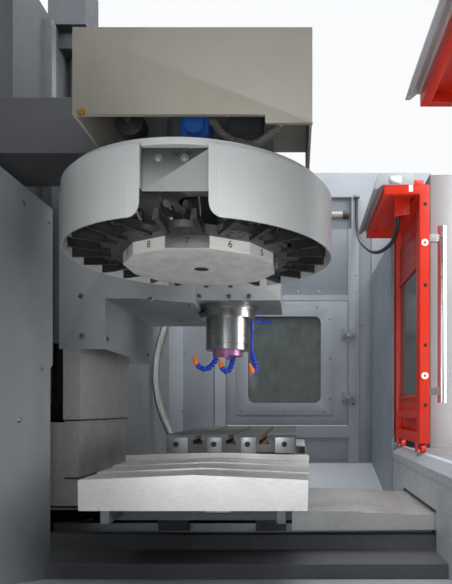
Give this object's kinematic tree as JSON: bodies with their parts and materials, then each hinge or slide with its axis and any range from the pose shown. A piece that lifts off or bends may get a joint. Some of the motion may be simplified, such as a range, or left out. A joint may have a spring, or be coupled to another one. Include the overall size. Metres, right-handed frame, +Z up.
{
  "type": "vertical machining center",
  "caption": "Enclosed vertical machining centre with umbrella tool magazine, T-slot table on cross slides, telescopic way covers and sliding front doors.",
  "frame": {"origin": "on the floor, at the centre of the footprint", "axes": "+Z up, +X to the machine's right as its operator sees it, +Y towards its rear"},
  "size_m": [2.7, 2.666, 2.54],
  "materials": {
    "casting": "painted casting, satin",
    "foot_steel": "blackened steel",
    "ground_steel": "ground",
    "drive_steel": "machined",
    "wall_paint": "satin",
    "guard_paint": "satin, oily",
    "guard_blue": "satin",
    "pan_steel": "rolled sheet, oily",
    "outer_paint": "satin",
    "lamp_tube": "milky tube",
    "arm_paint": "satin beige",
    "braid": "woven steel",
    "conduit_black": "corrugated",
    "panel_plastic": "fine texture",
    "stainless": "brushed stainless",
    "table_iron": "ground top",
    "head_paint": "satin",
    "nose_chrome": "ground and polished",
    "nose_ring": "coolant-stained ground steel",
    "motor_dark": "matt",
    "hose_blue": "moulded",
    "carriage_paint": "satin",
    "drum_paint": "satin",
    "motor_blue": "gloss",
    "plate_steel": "oxidised",
    "hub_aluminium": "turned",
    "gripper_black": "moulded",
    "door_red": "gloss",
    "door_glass": "tinted",
    "handle_steel": "satin tube",
    "button_red": "moulded",
    "knob_black": "moulded"
  },
  "bodies": {
    "machine_frame": {"base": "casting", "leveling_feet": "foot_steel", "column": "casting", "guide_rails": "ground_steel", "axis_drives": "drive_steel", "left_wall": "wall_paint", "right_wall": "wall_paint", "rear_guards": "guard_paint", "chip_pans": "pan_steel", "front_guards": "guard_blue", "front_housings": "outer_paint", "front_skirt": "outer_paint", "door_tracks": "pan_steel", "work_light": "lamp_tube", "electrical_cabinet": "outer_paint", "magazine_arm": "arm_paint", "braided_hose": "braid", "door_conduit": "conduit_black", "operator_panel": "panel_plastic", "z_cover_lower": "stainless", "y_cover_fixed": "stainless"},
    "saddle_unit": {"saddle": "casting", "x_drive": "ground_steel", "x_cover_ends": "stainless", "y_cover_saddle": "stainless"},
    "table_unit": {"table": "table_iron", "x_cover_tops": "stainless"},
    "cover_left_a": {"x_cover_left_a": "stainless"},
    "cover_left_b": {"x_cover_left_b": "stainless"},
    "cover_right_a": {"x_cover_right_a": "stainless"},
    "cover_right_b": {"x_cover_right_b": "stainless"},
    "cover_y": {"y_cover_middle": "stainless"},
    "cover_z": {"z_cover_middle": "stainless"},
    "head_unit": {"head_casting": "casting", "head_cover": "head_paint", "z_cover_upper": "stainless", "spindle_motor": "motor_dark", "spindle_housing": "nose_chrome", "coolant_hoses": "hose_blue"},
    "spindle_rotor": {"spindle": "nose_ring"},
    "magazine_unit": {"magazine_carriage": "carriage_paint", "drum_cover": "drum_paint", "magazine_motor": "motor_blue", "magazine_conduit": "conduit_black"},
    "tool_drum": {"drum_plate": "plate_steel", "drum_hub": "hub_aluminium", "tool_grippers": "gripper_black"},
    "right_front_door": {"right_door": "door_red", "right_door_glass": "door_glass", "right_door_handle": "handle_steel"},
    "left_front_door": {"left_door": "door_red", "left_door_glass": "door_glass", "left_door_handle": "handle_steel"},
    "right_side_door": {"right_service_door": "wall_paint", "right_service_glass": "door_glass"},
    "left_side_door": {"left_service_door": "wall_paint", "left_service_glass": "door_glass"},
    "cabinet_leaf": {"cabinet_door": "outer_paint"},
    "stop": {"stop_button": "button_red"},
    "dial": {"feed_dial": "knob_black"}
  },
  "joints": [
    {"name": "saddle_y", "type": "slide", "parent": "machine_frame", "child": "saddle_unit", "axis": [0, 1, 0], "range_m": [-0.25, 0.145]},
    {"name": "table_x", "type": "slide", "parent": "saddle_unit", "child": "table_unit", "axis": [1, 0, 0], "range_m": [-0.4, 0.2]},
    {"name": "cover_left_a_x", "type": "slide", "parent": "saddle_unit", "child": "cover_left_a", "axis": [1, 0, 0], "range_m": [-0.267, 0.134]},
    {"name": "cover_left_b_x", "type": "slide", "parent": "saddle_unit", "child": "cover_left_b", "axis": [1, 0, 0], "range_m": [-0.134, 0.067]},
    {"name": "cover_right_a_x", "type": "slide", "parent": "saddle_unit", "child": "cover_right_a", "axis": [1, 0, 0], "range_m": [-0.267, 0.134]},
    {"name": "cover_right_b_x", "type": "slide", "parent": "saddle_unit", "child": "cover_right_b", "axis": [1, 0, 0], "range_m": [-0.134, 0.067]},
    {"name": "cover_middle_y", "type": "slide", "parent": "machine_frame", "child": "cover_y", "axis": [0, 1, 0], "range_m": [-0.1255, 0.073]},
    {"name": "head_z", "type": "slide", "parent": "machine_frame", "child": "head_unit", "axis": [0, 0, 1], "range_m": [-0.18, 0.32]},
    {"name": "cover_middle_z", "type": "slide", "parent": "machine_frame", "child": "cover_z", "axis": [0, 0, 1], "range_m": [-0.0905, 0.1605]},
    {"name": "spindle_spin", "type": "hinge", "parent": "head_unit", "child": "spindle_rotor", "pos_m": [0.033, -0.197, 1.2], "axis": [0, 0, 1], "continuous": true},
    {"name": "magazine_slide", "type": "slide", "parent": "machine_frame", "child": "magazine_unit", "axis": [1, 0, 0], "range_m": [0, 0.008]},
    {"name": "drum_spin", "type": "hinge", "parent": "magazine_unit", "child": "tool_drum", "pos_m": [-0.548, -0.197, 1.4], "axis": [0, 0, 1], "continuous": true},
    {"name": "right_door_slide", "type": "slide", "parent": "machine_frame", "child": "right_front_door", "axis": [1, 0, 0], "range_m": [0, 0.515], "deforming": ["door_conduit"]},
    {"name": "left_door_slide", "type": "slide", "parent": "machine_frame", "child": "left_front_door", "axis": [1, 0, 0], "range_m": [0, 0.59]},
    {"name": "right_side_hinge", "type": "hinge", "parent": "machine_frame", "child": "right_side_door", "pos_m": [1.342, -0.034, 1.2], "axis": [0, 0, 1], "range_deg": [0, 120]},
    {"name": "left_side_hinge", "type": "hinge", "parent": "machine_frame", "child": "left_side_door", "pos_m": [-1.276, 0.053, 1.1], "axis": [0, 0, 1], "range_deg": [0, 180]},
    {"name": "cabinet_hinge", "type": "hinge", "parent": "machine_frame", "child": "cabinet_leaf", "pos_m": [-0.574, 1.303, 1.2], "axis": [0, 0, 1], "range_deg": [0, 110]},
    {"name": "stop_press", "type": "slide", "parent": "machine_frame", "child": "stop", "axis": [0, 1, 0], "range_m": [0, 0.005], "stiffness_N_per_m": 600, "springref_m": -0.001},
    {"name": "dial_turn", "type": "hinge", "parent": "machine_frame", "child": "dial", "pos_m": [0.973, -1.315, 1.13], "axis": [0, 1, 0], "range_deg": [-135, 135]}
  ],
  "couplings": [
    {"joint": "cover_left_a_x", "follows": "table_x", "ratio": 0.66667},
    {"joint": "cover_left_b_x", "follows": "table_x", "ratio": 0.33333},
    {"joint": "cover_right_a_x", "follows": "table_x", "ratio": 0.66667},
    {"joint": "cover_right_b_x", "follows": "table_x", "ratio": 0.33333},
    {"joint": "cover_middle_y", "follows": "saddle_y", "ratio": 0.5},
    {"joint": "cover_middle_z", "follows": "head_z", "ratio": 0.5}
  ]
}
